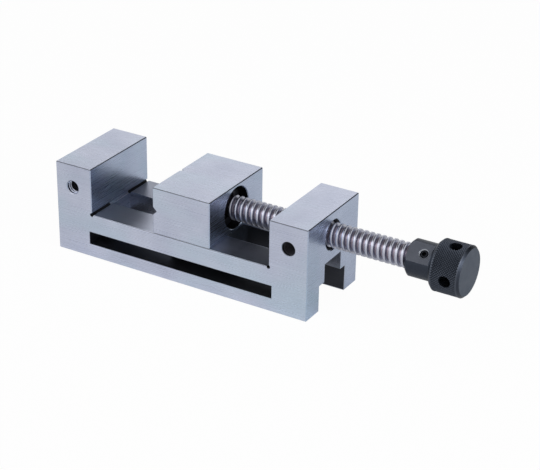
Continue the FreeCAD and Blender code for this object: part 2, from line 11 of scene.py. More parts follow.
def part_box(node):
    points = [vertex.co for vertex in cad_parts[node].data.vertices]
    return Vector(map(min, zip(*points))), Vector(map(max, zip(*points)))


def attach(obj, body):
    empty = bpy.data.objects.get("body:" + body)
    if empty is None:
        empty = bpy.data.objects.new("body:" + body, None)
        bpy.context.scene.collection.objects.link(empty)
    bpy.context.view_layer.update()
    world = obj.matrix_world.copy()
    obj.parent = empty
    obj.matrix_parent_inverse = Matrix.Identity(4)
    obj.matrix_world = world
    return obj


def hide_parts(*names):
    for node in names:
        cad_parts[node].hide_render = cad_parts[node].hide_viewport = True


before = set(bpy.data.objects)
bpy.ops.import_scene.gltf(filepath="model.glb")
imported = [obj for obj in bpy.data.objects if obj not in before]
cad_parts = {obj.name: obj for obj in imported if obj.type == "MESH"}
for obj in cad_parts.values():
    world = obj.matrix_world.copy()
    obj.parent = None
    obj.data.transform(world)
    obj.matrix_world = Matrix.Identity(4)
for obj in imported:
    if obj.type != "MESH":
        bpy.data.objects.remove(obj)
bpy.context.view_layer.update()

# The looks of a toolmaker's grinding vise. The solids of its body, jaw, keeper plate, ring,
# washers and fasteners keep their shape and get their finishes here. The lead screw is
# modelled again with its thread and the knob with its knurling, and each threaded hole gets
# the ridge of its thread. Sizes are millimetres, and a point is turned into metres as it is
# placed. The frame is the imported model's: +X runs to the knob and +Z is up.

LOG = logging.getLogger("vise")
MM = 0.001
FULL_TURN = 2 * math.pi
RIGHT_ANGLE = math.pi / 2
SCREW_AXIS = (1, 0, 0)
# Over what distance, in millimetres, a patch that ends sharply takes to fade
SHARP = 0.01
# The part of a noise's range that carries its grain
NOISE_BAND = (0.3, 0.7)
# Under what distance, in millimetres, two corners of a mesh are one
SAME_PLACE = 0.002
# By how much a cutting tool stands out of what it cuts
CLEAR = 1.0
# The hub's flat, its set screw and the screw's own flat, in degrees from upright to the front
FLAT_ANGLE = 39.0

Outline = list[tuple[float, float]]
Size = tuple[float, float, float]
Tree = bpy.types.NodeTree
Socket = bpy.types.NodeSocket
Piece = bpy.types.Object


class Cut(Enum):
    """How one closed mesh works on another."""

    REMOVE = "DIFFERENCE"
    KEEP_SHARED = "INTERSECT"
    JOIN = "UNION"


# Colours and nodes


def point(x: float, y: float, z: float) -> Vector:
    """Turn a point in millimetres into metres."""
    return Vector((x, y, z)) * MM


def linear(colour: str) -> tuple[float, float, float, float]:
    """Turn an sRGB hex colour into Blender's linear one.

    Args:
        colour: Six hex digits after a hash sign.

    Returns:
        Red, green, blue and an alpha of 1.
    """
    shares = [int(colour[k : k + 2], 16) / 255 for k in (1, 3, 5)]
    red, green, blue = (s / 12.92 if s <= 0.04045 else ((s + 0.055) / 1.055) ** 2.4 for s in shares)
    return (red, green, blue, 1.0)


def add_node(tree: Tree, kind: str, inputs: dict | tuple, output: int = 0, **settings) -> Socket:
    """Add a node with its settings, its values and the links into it.

    Args:
        tree: The node tree that it goes into.
        kind: The node's type name, after the word ShaderNode.
        inputs: A value, a hex colour or the output that feeds it, for each input: by name or
            number in a dict, or one after another in a tuple.
        output: Number of the output that is wanted.
        **settings: The node's own settings.

    Returns:
        That output of the new node.
    """
    node = tree.nodes.new(f"ShaderNode{kind}")
    for name, value in settings.items():
        setattr(node, name, value)
    given = inputs.items() if isinstance(inputs, dict) else enumerate(inputs)
    for name, value in given:
        if isinstance(value, Socket):
            tree.links.new(value, node.inputs[name])
        else:
            node.inputs[name].default_value = linear(value) if isinstance(value, str) else value
    return node.outputs[output]


def pattern(tree: Tree, place: Socket, grain: Size, detail: float = 2.0) -> Socket:
    """Draw a noise whose grain has a real size along each axis.

    Args:
        tree: The material's node tree.
        place: The point of the surface.
        grain: Size of a grain along the three axes, in millimetres.
        detail: Number of finer layers.

    Returns:
        The noise, about 0.5 on the whole.
    """
    scale = [1 / (size * MM) for size in grain]
    mapped = add_node(tree, "Mapping", {"Vector": place, "Scale": scale})
    return add_node(tree, "TexNoise", {"Vector": mapped, "Scale": 1.0, "Detail": detail})


def inside_box(tree: Tree, place: Socket, middle: Size, half: Size, fade: float = SHARP) -> Socket:
    """Tell whether a point of the surface lies in a box.

    Args:
        tree: The material's node tree.
        place: The point of the surface.
        middle: Middle of the box in millimetres.
        half: Half of its size in millimetres.
        fade: How far past its ends along X the share takes to fall to 0, in millimetres.

    Returns:
        1 inside the box, and 0 well outside it.
    """
    offset = add_node(tree, "VectorMath", (place, point(*middle)), operation="SUBTRACT")
    distance = add_node(tree, "VectorMath", (offset,), operation="ABSOLUTE")
    stretch = (SHARP / fade, 1.0, 1.0)
    edge = point(*(-size * factor for size, factor in zip(half, stretch)))
    excess = add_node(tree, "VectorMath", (distance, stretch, edge), operation="MULTIPLY_ADD")
    parts = add_node(tree, "SeparateXYZ", (excess,)).node.outputs
    most = parts[0]
    for part in parts[1:]:
        most = add_node(tree, "Math", (most, part), operation="MAXIMUM")
    return add_node(tree, "MapRange", (most, 0.0, SHARP * MM, 1.0, 0.0))


@dataclass(frozen=True)
class Finish:
    """A surface finish. Each kind of finish draws its own pattern.

    Attributes:
        name: Name of the material.
        roughness: Smallest and largest roughness.
        relief: Depth of the tool marks in millimetres.
    """

    name: str
    roughness: tuple[float, float]
    relief: float

    def draw(self, tree: Tree) -> tuple[Socket, Socket, Socket]:
        """Draw the finish.

        Args:
            tree: The material's node tree.

        Returns:
            The colour, the roughness and the height of the relief.
        """
        raise NotImplementedError

    def material(self) -> bpy.types.Material:
        """Give the finish as a material, made once.

        Returns:
            The material.
        """
        made = bpy.data.materials.get(self.name)
        if made:
            return made
        made = bpy.data.materials.new(self.name)
        made.use_nodes = True
        tree = made.node_tree
        colour, roughness, height = self.draw(tree)
        marks = {"Height": height, "Strength": 1.0, "Distance": self.relief * MM}
        bump = add_node(tree, "Bump", marks)
        shader = tree.nodes["Principled BSDF"].inputs
        shader["Metallic"].default_value = 1.0
        for name, source in (("Base Color", colour), ("Roughness", roughness), ("Normal", bump)):
            tree.links.new(source, shader[name])
        return made


@dataclass(frozen=True)
class ScaleAndShadePatch:
    """A box in which ground steel is painted darker, for hardening scale and painted shade.

    Attributes:
        middle: Its middle in millimetres. The box counts on both sides of the middle plane.
        half: Half of its size in millimetres.
        left: How much darker it is painted. Below 0, that much is taken off other patches.
        fade: How far past its ends along X the darkening takes to end, in millimetres.
    """

    middle: Size
    half: Size
    left: float
    fade: float = SHARP


@dataclass(frozen=True)
class GroundSteel(Finish):
    """Hardened tool steel, surface ground.

    The wheel leaves fine straight lines along the piece, and across it on its ends. The eye
    sees a satin mirror that draws reflections out a little, with a faint grey haze. Inside
    the slots, the channel and the holes no wheel reaches, and there the steel is dull and
    painted dark, for hardening scale and for painted shade. The broken edges and the ways
    are in part painted darker, as shade.

    Attributes:
        light: Brightest steel.
        dark: Dullest steel.
        cool: Steel where the haze turns it bluish.
        ends: What an end face's colour is multiplied by, a painted shade that makes end faces darker
            and more cyan.
        scale_and_shade: Lightest of the painted dark, for hardening scale and painted shade.
        scale_and_shade_dark: Darkest of the painted dark, for hardening scale and painted shade.
        scale_and_shade_roughness: Roughness where it is painted dark.
        line_length: Length of a grinding line.
        line_width: Width of a grinding line, drawn ten times too wide so that it shows.
        line_share: How much of the colour's play comes from the lines, and not the haze.
        haze: Size of a patch of haze.
        cool_band: Part of the haze's range in which it turns bluish.
        cool_share: How bluish it turns at most.
        end_limit: How far a face's normal leans towards X where it counts as an end.
        scale_and_shade_patches: Where hardening scale and painted shade are painted.
    """

    light: str = "#D4D9EA"
    dark: str = "#BCC2D6"
    cool: str = "#BACEDC"
    ends: str = "#E8F0F6"
    scale_and_shade: str = "#3C3D43"
    scale_and_shade_dark: str = "#222327"
    scale_and_shade_roughness: float = 0.5
    line_length: float = 30.0
    line_width: float = 0.35
    line_share: float = 0.35
    haze: float = 24.0
    cool_band: tuple[float, float] = (0.45, 0.7)
    cool_share: float = 0.6
    end_limit: float = 0.6
    scale_and_shade_patches: tuple[ScaleAndShadePatch, ...] = ()

    def draw(self, tree: Tree) -> tuple[Socket, Socket, Socket]:
        """Draw grinding lines that follow each face, under a wide haze, and the skin.

        Args:
            tree: The material's node tree.

        Returns:
            The colour, the roughness and the height of the relief.
        """
        where = add_node(tree, "TexCoord", ()).node.outputs
        place = where["Object"]
        length, width = self.line_length, self.line_width
        along = pattern(tree, place, (length, width, width))
        across = pattern(tree, place, (width, length, width))
        lean = add_node(tree, "SeparateXYZ", (where["Normal"],))
        facing = add_node(tree, "Math", (lean,), operation="ABSOLUTE")
        end_face = add_node(tree, "Math", (facing, self.end_limit), operation="GREATER_THAN")
        lines = add_node(tree, "Mix", {0: end_face, 2: along, 3: across})
        cloud = pattern(tree, place, (self.haze,) * 3)
        tint = pattern(tree, place, (2 * self.haze, self.haze, self.haze))
        both = add_node(tree, "Mix", {0: self.line_share, 2: cloud, 3: lines})
        share = add_node(tree, "MapRange", (both, *NOISE_BAND, 0.0, 1.0))
        cooled = add_node(tree, "MapRange", (tint, *self.cool_band, 0.0, self.cool_share))
        # Darker patches: hardening scale and painted shade in the recesses, painted shade on the ways
        # and edges
        scale_and_shade = self.scale_and_shade_share(tree, place)
        colour, scale_and_shade_colour = (
            add_node(tree, "Mix", {0: share, 6: low, 7: high}, 2, data_type="RGBA")
            for low, high in ((self.dark, self.light), (self.scale_and_shade_dark, self.scale_and_shade))
        )
        # The end faces are multiplied darker and more cyan as painted shade, and the dark patches go
        # over everything
        for part, tone, blend in (
            (cooled, self.cool, "MIX"),
            (end_face, self.ends, "MULTIPLY"),
            (scale_and_shade, scale_and_shade_colour, "MIX"),
        ):
            layer = {0: part, 6: colour, 7: tone}
            colour = add_node(tree, "Mix", layer, 2, data_type="RGBA", blend_type=blend)
        ground = add_node(tree, "MapRange", (lines, *NOISE_BAND, *self.roughness))
        roughness = add_node(tree, "Mix", {0: scale_and_shade, 2: ground, 3: self.scale_and_shade_roughness})
        return colour, roughness, lines

    def scale_and_shade_share(self, tree: Tree, place: Socket) -> Socket:
        """Tell where the steel is painted dark, for hardening scale and painted shade.

        Args:
            tree: The material's node tree.
            place: The point of the surface.

        Returns:
            1 where it is painted dark and 0 on bare ground steel.
        """
        parts = add_node(tree, "SeparateXYZ", (place,)).node.outputs
        side = add_node(tree, "Math", (parts[1],), operation="ABSOLUTE")
        folded = add_node(tree, "CombineXYZ", (parts[0], side, parts[2]))
        share = 0.0
        for patch in self.scale_and_shade_patches:
            box = inside_box(tree, folded, patch.middle, patch.half, patch.fade)
            share = add_node(tree, "Math", (box, patch.left, share), operation="MULTIPLY_ADD")
        return add_node(tree, "MapRange", (share, 0.0, 1.0, 0.0, 1.0))


@dataclass(frozen=True)
class TurnedSteel(Finish):
    """Steel turned on a lathe, bare or blackened.

    The tool leaves rings round the axis, on the rims and on the faces alike. Towards a deep
    radius the colour goes over to a painted shade, and on the outermost radius it shows
    where hands and handling have rubbed it. A colour that isn't given is the plain one.

    Attributes:
        deep: Colour at the deepest radius, a painted shade.
        plain: Colour of the rest.
        worn: Colour where it is rubbed.
        faced: Colour of the faces across the axis.
        milled: Colour of a flat beside the axis.
        mouth_glint: Painted glint on the mouth of a hole in the flat.
        deep_radius: Radius up to which the colour is the deep one.
        plain_radius: Radius from which it is the plain one.
        worn_radius: Radius from which it is rubbed.
        worn_band: How raggedly these radii are kept.
        ring_width: Width of a tool mark, drawn three times too wide so that it shows.
        ring_share: How much of the roughness comes from the rings, and not the blotches.
        blotch: Size of a blotch.
        face_band: How far a normal leans along the axis where a face across it begins and
            where it is whole.
        axis_height: Height of the lathe's axis.
        flat_distance: Axis to the flat.
        flat_margin: How far under the flat its colour reaches.
        flat_end: Place along X where the flat ends.
        mouth: Middle of the hole's mouth.
        mouth_reach: How far round its middle the mouth reaches.
        mouth_depth: How deep the mouth goes.
    """

    deep: str
    plain: str
    worn: str | None = None
    faced: str | None = None
    milled: str | None = None
    mouth_glint: str | None = None
    deep_radius: float = 4.9
    plain_radius: float = 6.0
    worn_radius: float = 6.4
    worn_band: float = 0.2
    ring_width: float = 0.3
    ring_share: float = 0.4
    blotch: float = 5.0
    face_band: tuple[float, float] = (0.85, 0.95)
    axis_height: float = 36.5
    flat_distance: float = 7.5
    flat_margin: float = 0.02
    flat_end: float = 128.3
    mouth: Size = (124.05, -4.72, 42.33)
    mouth_reach: float = 2.6
    mouth_depth: float = 0.44

    def draw(self, tree: Tree) -> tuple[Socket, Socket, Socket]:
        """Draw rings about the axis, with colour by radius and by how a face lies.

        Args:
            tree: The material's node tree.

        Returns:
            The colour, the roughness and the height of the relief.
        """
        where = add_node(tree, "TexCoord", ()).node.outputs
        place = where["Object"]
        lowered = point(0, 0, -self.axis_height)
        centred = add_node(tree, "Mapping", {"Vector": place, "Location": lowered})
        parts = add_node(tree, "SeparateXYZ", (centred,)).node.outputs
        spoke = add_node(tree, "CombineXYZ", (0.0, parts[1], parts[2]))
        radius = add_node(tree, "VectorMath", (spoke,), 1, operation="LENGTH")
        turned = add_node(tree, "CombineXYZ", (parts[0], radius))
        rings = pattern(tree, turned, (self.ring_width, self.ring_width, 1.0))
        cloud = pattern(tree, place, (self.blotch,) * 3, detail=4.0)
        rag = self.worn_band * MM
        ragged = add_node(tree, "Math", (cloud, rag, radius), operation="MULTIPLY_ADD")
        deep, plain, worn = (r * MM for r in (self.deep_radius, self.plain_radius, self.worn_radius))
        depth = add_node(tree, "MapRange", (ragged, deep, plain, 0.0, 1.0))
        rubbed = add_node(tree, "MapRange", (ragged, worn, worn + rag, 0.0, 1.0))
        lean = add_node(tree, "SeparateXYZ", (where["Normal"],))
        facing = add_node(tree, "Math", (lean,), operation="ABSOLUTE")
        across = add_node(tree, "MapRange", (facing, *self.face_band, 0.0, 1.0))
        flat, mouth = self.hub_shares(tree, centred, parts[0])
        # Start from the painted shade of the deepest radius, and lay the other colours over it
        colour = self.deep
        # On the knob, the faces across the axis get painted light, the flat a painted sheen and the
        # hole's mouth a painted glint
        for share, tone in (
            (depth, self.plain),
            (rubbed, self.worn),
            (across, self.faced),
            (flat, self.milled),
            # the painted glint in the mouth of the set screw's hole
            (mouth, self.mouth_glint),
        ):
            layer = {0: share, 6: colour, 7: tone or self.plain}
            colour = add_node(tree, "Mix", layer, 2, data_type="RGBA")
        both = add_node(tree, "Mix", {0: self.ring_share, 2: cloud, 3: rings})
        roughness = add_node(tree, "MapRange", (both, *NOISE_BAND, *self.roughness))
        return colour, roughness, rings

    def hub_shares(self, tree: Tree, centred: Socket, along: Socket) -> tuple[Socket, Socket]:
        """Tell where the milled flat and the mouth of its hole are.

        Args:
            tree: The material's node tree.
            centred: The point of the surface, from the axis.
            along: Its place along X.

        Returns:
            1 on the flat and 0 elsewhere, and the same for the mouth.
        """
        turn = math.radians(FLAT_ANGLE)
        outwards = (0.0, -math.sin(turn), math.cos(turn))
        level = (self.flat_distance - self.flat_margin) * MM
        lowest = (self.flat_distance - self.mouth_depth) * MM
        middle = (self.mouth[0], self.mouth[1], self.mouth[2] - self.axis_height)
        reach = add_node(tree, "VectorMath", (centred, outwards), 1, operation="DOT_PRODUCT")
        beyond = add_node(tree, "Math", (reach, level), operation="GREATER_THAN")
        before = add_node(tree, "Math", (along, self.flat_end * MM), operation="LESS_THAN")
        flat = add_node(tree, "Math", (beyond, before), operation="MULTIPLY")
        near = inside_box(tree, centred, middle, (self.mouth_reach,) * 3)
        shallow = add_node(tree, "Math", (reach, lowest), operation="GREATER_THAN")
        sunk = add_node(tree, "Math", (shallow, beyond), operation="SUBTRACT")
        return flat, add_node(tree, "Math", (near, sunk), operation="MULTIPLY")


# Dark patches are painted into the ground steel. In the strap slots and the channel, in the
# bores of the jaw and the screw block, in the work stop holes and in the relief grooves under
# the jaw faces they stand for hardening scale and for painted shade, and they are thinner near
# the mouths of the stop holes, most on the fixed jaw, where light reaches in. The ways get a
# thin painted shade, deeper behind the jaw and lighter mid way and on the slot's rim. The lower
# edge of the moving jaw and the broken edges on top are painted dark as shade and as the dark
# reflections that they catch.
GROUND = GroundSteel(
    "tool_steel_surface_ground",
    roughness=(0.24, 0.34),
    relief=0.0015,
    scale_and_shade_patches=(
        # strap slots and channel, then the slot that guides the jaw, with painted shade between the
        # jaw and the screw block
        ScaleAndShadePatch((0, 0, 7.25), (73.4, 24.55, 6.99), 0.95),
        ScaleAndShadePatch((0, 0, 18.9), (73.4, 8.1, 4.65), 0.05),
        ScaleAndShadePatch((38.0, 0, 18.9), (17.0, 8.1, 4.65), 0.88, 12.0),
        # bores of the moving jaw and the screw block
        ScaleAndShadePatch((3.7, 0, 36.5), (14.7, 11.1, 11.1), 1.0),
        ScaleAndShadePatch((63.0, 0, 36.5), (10.3, 9.0, 9.0), 1.0),
        # work stop holes and, thinner, their mouths
        ScaleAndShadePatch((-63.4, 16.5, 36.5), (4.0, 5.0, 4.0), 1.0),
        ScaleAndShadePatch((-63.4, 24.77, 36.5), (4.0, 0.21, 4.0), 0.35),
        ScaleAndShadePatch((63.4, 18.35, 36.5), (4.0, 6.35, 4.0), 1.0),
        ScaleAndShadePatch((63.4, 24.77, 36.5), (4.0, 0.21, 4.0), 0.5),
        # relief grooves
        ScaleAndShadePatch((-52.25, 16.5, 24), (1.02, 8.4, 1.02), 1.0),
        ScaleAndShadePatch((52.25, 16.5, 24), (1.02, 8.4, 1.02), 1.0),
        # lower edge of the moving jaw: painted shade in the crease over the way
        ScaleAndShadePatch((2.0, 24.79, 24.2), (17.0, 0.185, 0.21), 1.0),
        # painted shade on the tops of the ways: all of them, lighter mid way, deeper behind the jaw,
        # and lighter on the slot's rim
        ScaleAndShadePatch((0, 0, 24.0), (51.2, 24.6, 0.02), 0.37),
        ScaleAndShadePatch((-12.0, 0, 24.0), (6.0, 24.6, 0.02), -0.32, 18.0),
        ScaleAndShadePatch((43.0, 0, 24.0), (12.0, 24.6, 0.02), 0.46, 12.0),
        ScaleAndShadePatch((0, 0, 24.0), (51.2, 8.3, 0.02), -0.4),
        # broken edges of the ways and of the tops, painted dark as shade and as the dark reflections
        # they catch
        ScaleAndShadePatch((0, 24.79, 23.8), (51.2, 0.2, 0.17), 0.6),
        ScaleAndShadePatch((0, 0, 48.8), (73.7, 25.1, 0.18), 0.8),
    ),
)
# The screw's thread is cut and left bare. Its crests and flanks shine, and its roots are dull,
# painted darker and a little brown as shade.
THREADED = TurnedSteel(
    "carbon_steel_thread_cut",
    roughness=(0.24, 0.38),
    relief=0.006,
    deep="#938993",
    plain="#B9BBC8",
    worn="#C9CAD6",
)
# The threads in the holes are tapped and have a soft shine, and are painted dark as the shade inside
# the holes
TAPPED = TurnedSteel(
    "carbon_steel_tapped_shaded",
    roughness=(0.4, 0.55),
    relief=0.006,
    deep="#3A393F",
    plain="#3A393F",
    worn="#4A494F",
)
# The ring and the washers of the thrust bearing are turned and greasy: mid grey, with painted
# shade darker towards the bore
BEARING = TurnedSteel(
    "carbon_steel_turned",
    roughness=(0.3, 0.45),
    relief=0.008,
    deep="#2C2B2F",
    plain="#55565D",
    worn="#6A6C74",
    faced="#5C5D65",
    deep_radius=4.0,
    plain_radius=6.5,
    worn_radius=10.6,
)
# The knob is blackened after turning. It looks nearly black and a little blue, and greyer where
# hands rub it. Its faces across the axis are painted lighter and bluer, as light on them, its
# milled flat is painted lighter as a sheen, and the mouth of the set screw's hole has a painted glint.
BLACKENED = TurnedSteel(
    "steel_turned_black_oxide",
    roughness=(0.36, 0.5),
    relief=0.01,
    deep="#30333B",
    plain="#3A3F49",
    worn="#50555F",
    faced="#4D5766",
    milled="#686C76",
    mouth_glint="#A6AAB2",
    deep_radius=0.0,
    plain_radius=9.0,
    worn_radius=12.6,
    worn_band=0.3,
)
# The set screw is hardened, blackened and left oily, so it gives back little light. Its socket
# is painted darker still, as shade.
OILED = TurnedSteel(
    "alloy_steel_turned_oily_black_oxide",
    roughness=(0.4, 0.55),
    relief=0.004,
    deep="#18191C",
    plain="#2C2E34",
    deep_radius=5.8,
    plain_radius=7.0,
)


# Modelling


def edit() -> None:
    """Go into edit mode on the active object."""
    bpy.ops.object.mode_set(mode="EDIT")


def leave_edit() -> None:
    """Go back to object mode."""
    bpy.ops.object.mode_set(mode="OBJECT")


def pick(piece: Piece) -> None:
    """Make one object the only one that is selected, and the active one.

    Args:
        piece: The object.
    """
    bpy.ops.object.select_all(action="DESELECT")
    piece.select_set(True)
    bpy.context.view_layer.objects.active = piece


def start_mesh(name: str, kind: str, size: float, where: Vector) -> Piece:
    """Add a plane or a cube as the only thing that is selected.

    Args:
        name: Name of the new object.
        kind: What Blender calls the primitive.
        size: Its side in metres.
        where: Its place in metres.

    Returns:
        The new object.
    """
    bpy.ops.object.select_all(action="DESELECT")
    getattr(bpy.ops.mesh, f"primitive_{kind}_add")(size=size, location=where)
    piece = bpy.context.active_object
    piece.name = piece.data.name = name
    return piece


def draw_chain(name: str, corners: list[Vector], closed: bool) -> Piece:
    """Draw a chain of edges, one corner after another, and stay in edit mode.

    Args:
        name: Name of the new object.
        corners: Its corners in metres.
        closed: Whether an edge joins the last corner to the first.

    Returns:
        The object, with every corner selected.
    """
    piece = start_mesh(name, "plane", MM, Vector())
    edit()
    bpy.ops.mesh.select_mode(type="VERT")
    bpy.ops.mesh.merge(type="CENTER")
    bpy.ops.transform.translate(value=corners[0])
    for start, end in zip(corners, corners[1:]):
        bpy.ops.mesh.extrude_region_move(TRANSFORM_OT_translate={"value": end - start})
    if closed:
        bpy.ops.mesh.select_all(action="DESELECT")
        mesh = bmesh.from_edit_mesh(piece.data)
        for vertex in mesh.verts:
            vertex.select_set(len(vertex.link_edges) == 1)
        bmesh.update_edit_mesh(piece.data)
        bpy.ops.mesh.edge_face_add()
    bpy.ops.mesh.select_all(action="SELECT")
    return piece


def close_up() -> None:
    """Merge seams and poles in edit mode, and point every face outwards."""
    bpy.ops.mesh.select_all(action="SELECT")
    bpy.ops.mesh.remove_doubles(threshold=SAME_PLACE * MM)
    bpy.ops.mesh.normals_make_consistent(inside=False)


def lathe(name: str, outline: Outline, height: float, steps: int) -> Piece:
    """Turn a half outline about an axis along X.

    Args:
        name: Name of the new object.
        outline: Place along X and radius of each corner, from pole to pole.
        height: Height of the axis.
        steps: Faces round the turn.

    Returns:
        The closed solid of revolution.
    """
    corners = [point(x, 0, height + radius) for x, radius in outline]
    piece = draw_chain(name, corners, closed=False)
    axis_point = point(0, 0, height)
    bpy.ops.mesh.spin(steps=steps, angle=FULL_TURN, center=axis_point, axis=SCREW_AXIS)
    close_up()
    leave_edit()
    return piece


def apply_modifier(piece: Piece, kind: str, **settings) -> None:
    """Add a modifier to a piece and apply it.

    Args:
        piece: The object that it works on.
        kind: The modifier's type.
        **settings: The modifier's settings.
    """
    pick(piece)
    modifier = piece.modifiers.new(kind.lower(), kind)
    for name, value in settings.items():
        setattr(modifier, name, value)
    bpy.ops.object.modifier_apply(modifier=modifier.name)


def combine(piece: Piece, tool: Piece, cut: Cut) -> None:
    """Work on a closed mesh with another one, and remove the tool.

    Args:
        piece: The mesh that stays.
        tool: The mesh that is used up.
        cut: What is done.
    """
    apply_modifier(piece, "BOOLEAN", operation=cut.value, object=tool, solver="EXACT")
    bpy.data.objects.remove(tool)


def duplicate(piece: Piece, name: str) -> Piece:
    """Copy a piece with its own mesh.

    Args:
        piece: The piece to copy.
        name: Name of the copy.

    Returns:
        The copy.
    """
    copy = piece.copy()
    copy.data = piece.data.copy()
    copy.name = copy.data.name = name
    bpy.context.scene.collection.objects.link(copy)
    return copy


def place(piece: Piece, where: Vector, turn: Size = (0.0, 0.0, 0.0)) -> None:
    """Turn a piece, move it, and put both into its mesh.

    Args:
        piece: The object, at the origin.
        where: Its place in metres.
        turn: Its turn about each axis, in radians.
    """
    pick(piece)
    piece.rotation_euler = turn
    piece.location = where
    bpy.ops.object.transform_apply(location=True, rotation=True, scale=False)


def flat_cutter(length: float, distance: float, reach: float) -> Piece:
    """Make the block that mills a flat beside an upright axis.

    Args:
        length: Length of the flat, from the origin along X.
        distance: Axis to the flat.
        reach: Radius that the block has to clear.

    Returns:
        The block, over the origin.
    """
    cutter = start_mesh("flat_cutter", "cube", 1, Vector())
    cutter.scale = point(length + CLEAR, 2 * reach, reach - distance)
    cutter.location = point((length - CLEAR) / 2, 0, (reach + distance) / 2)
    bpy.ops.object.transform_apply(location=True, rotation=True, scale=True)
    return cutter


def finish_piece(piece: Piece, body: str, finish: Finish, sharp: float = 35.0) -> None:
    """Shade a new piece, give it its finish and put it on its body.

    Args:
        piece: The piece, in its place.
        body: The body that it moves with.
        finish: What its surface is.
        sharp: Angle in degrees from which an edge stays sharp.
    """
    pick(piece)
    edit()
    close_up()
    leave_edit()
    bpy.ops.object.shade_smooth_by_angle(angle=math.radians(sharp))
    piece.data.materials.clear()
    piece.data.materials.append(finish.material())
    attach(piece, body)
    LOG.info("made %s on %s, %d faces", piece.name, body, len(piece.data.polygons))


def dress(node: str, finish: Finish) -> None:
    """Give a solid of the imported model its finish.

    Args:
        node: Name of the solid.
        finish: What its surface is.
    """
    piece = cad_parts[node]
    for material_slot in piece.material_slots:
        material_slot.material = finish.material()
    LOG.info("dressed %s with %s", node, finish.name)


def limits(node: str) -> tuple[Vector, Vector]:
    """Give the two corners of a node's box in millimetres."""
    low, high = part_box(node)
    return low / MM, high / MM


@dataclass
class Thread:
    """A trapezoidal thread, as its pitch and its two radii.

    Attributes:
        pitch: Distance from crest to crest.
        inner: Smallest radius.
        outer: Largest radius.
        flank: Angle of a flank in degrees.
        edge: Bevel on the crests.
        steps: Faces round each turn.
    """

    pitch: float
    inner: float
    outer: float
    flank: float = 14.5
    edge: float = 0.12
    steps: int = 48

    def slope(self) -> float:
        """How far a flank runs along the axis."""
        return (self.outer - self.inner) * math.tan(math.radians(self.flank))

    def rod(self, name: str, start: float, end: float, crest: float) -> Piece:
        """Make a threaded rod about the X axis, longer than it has to be at both ends.

        Args:
            name: Name of the new object.
            start: Where the thread has to be whole from.
            end: Where it has to be whole to.
            crest: A place along the axis where a crest stands upright over it.

        Returns:
            The closed rod.
        """
        pitch, slope, edge = self.pitch, self.slope(), self.edge
        half_crest = (pitch / 2 - slope) / 2
        first = crest - pitch * math.ceil((crest - start) / pitch + 2)
        turns = math.ceil((end - first) / pitch + 2)
        section = [
            (first - pitch / 2, self.inner),
            (first - half_crest - slope, self.inner),
            (first - half_crest - edge * slope, self.outer - edge),
            (first - half_crest + edge, self.outer),
            (first + half_crest - edge, self.outer),
            (first + half_crest + edge * slope, self.outer - edge),
            (first + half_crest + slope, self.inner),
            (first + pitch / 2, self.inner),
        ]
        piece = self.sweep(name, section, turns, closed=False)
        close_up()
        for low in (True, False):
            self.cap_end(piece, low)
        close_up()
        leave_edit()
        return piece

    def sweep(self, name: str, section: Outline, turns: int, closed: bool) -> Piece:
        """Draw a section and sweep it round the X axis right-handed, and stay in edit mode.

        Args:
            name: Name of the new object.
            section: Place along X and radius of each corner.
            turns: Number of turns.
            closed: Whether the section is closed.

        Returns:
            The swept mesh, open at both ends.
        """
        piece = draw_chain(name, [point(x, 0, r) for x, r in section], closed)
        leave_edit()
        apply_modifier(
            piece,
            "SCREW",
            axis="X",
            angle=FULL_TURN,
            screw_offset=self.pitch * MM,
            iterations=turns,
            steps=self.steps,
            render_steps=self.steps,
        )
        edit()
        return piece

    def cap_end(self, piece: Piece, low: bool) -> None:
        """Close one open end of a rod with a fan of faces round its axis, in edit mode.

        Args:
            piece: The rod.
            low: Whether it is the end with the smaller X.
        """
        bpy.ops.mesh.select_all(action="DESELECT")
        mesh = bmesh.from_edit_mesh(piece.data)
        centre = sum(v.co.x for v in mesh.verts) / len(mesh.verts)
        for rim in mesh.edges:
            outside = (rim.verts[0].co.x < centre) == low
            rim.select = rim.is_boundary and outside
        bmesh.update_edit_mesh(piece.data)
        bpy.ops.mesh.extrude_edges_move()
        bpy.ops.mesh.merge(type="CENTER")

    def ridge(self, name: str, start: float, end: float, crest: float) -> Piece:
        """Make the ridge of a threaded hole about the X axis.

        Args:
            name: Name of the new object.
            start: Where the ridge begins.
            end: Where it has to reach.
            crest: A place along the axis where the ridge's middle hangs over it.

        Returns:
            The closed ridge, with its root at the outer radius.
        """
        half_crest = (self.pitch / 2 - self.slope()) / 2
        half_root = half_crest + self.slope()
        first = crest + self.pitch * math.ceil((start - crest) / self.pitch)
        turns = math.floor((end - first) / self.pitch)
        section = [
            (first - half_root, self.outer),
            (first - half_crest, self.inner),
            (first + half_crest, self.inner),
            (first + half_root, self.outer),
        ]
        piece = self.sweep(name, section, turns, closed=True)
        bpy.ops.mesh.select_all(action="SELECT")
        bpy.ops.mesh.fill_holes(sides=len(section))
        close_up()
        leave_edit()
        return piece


# The vise


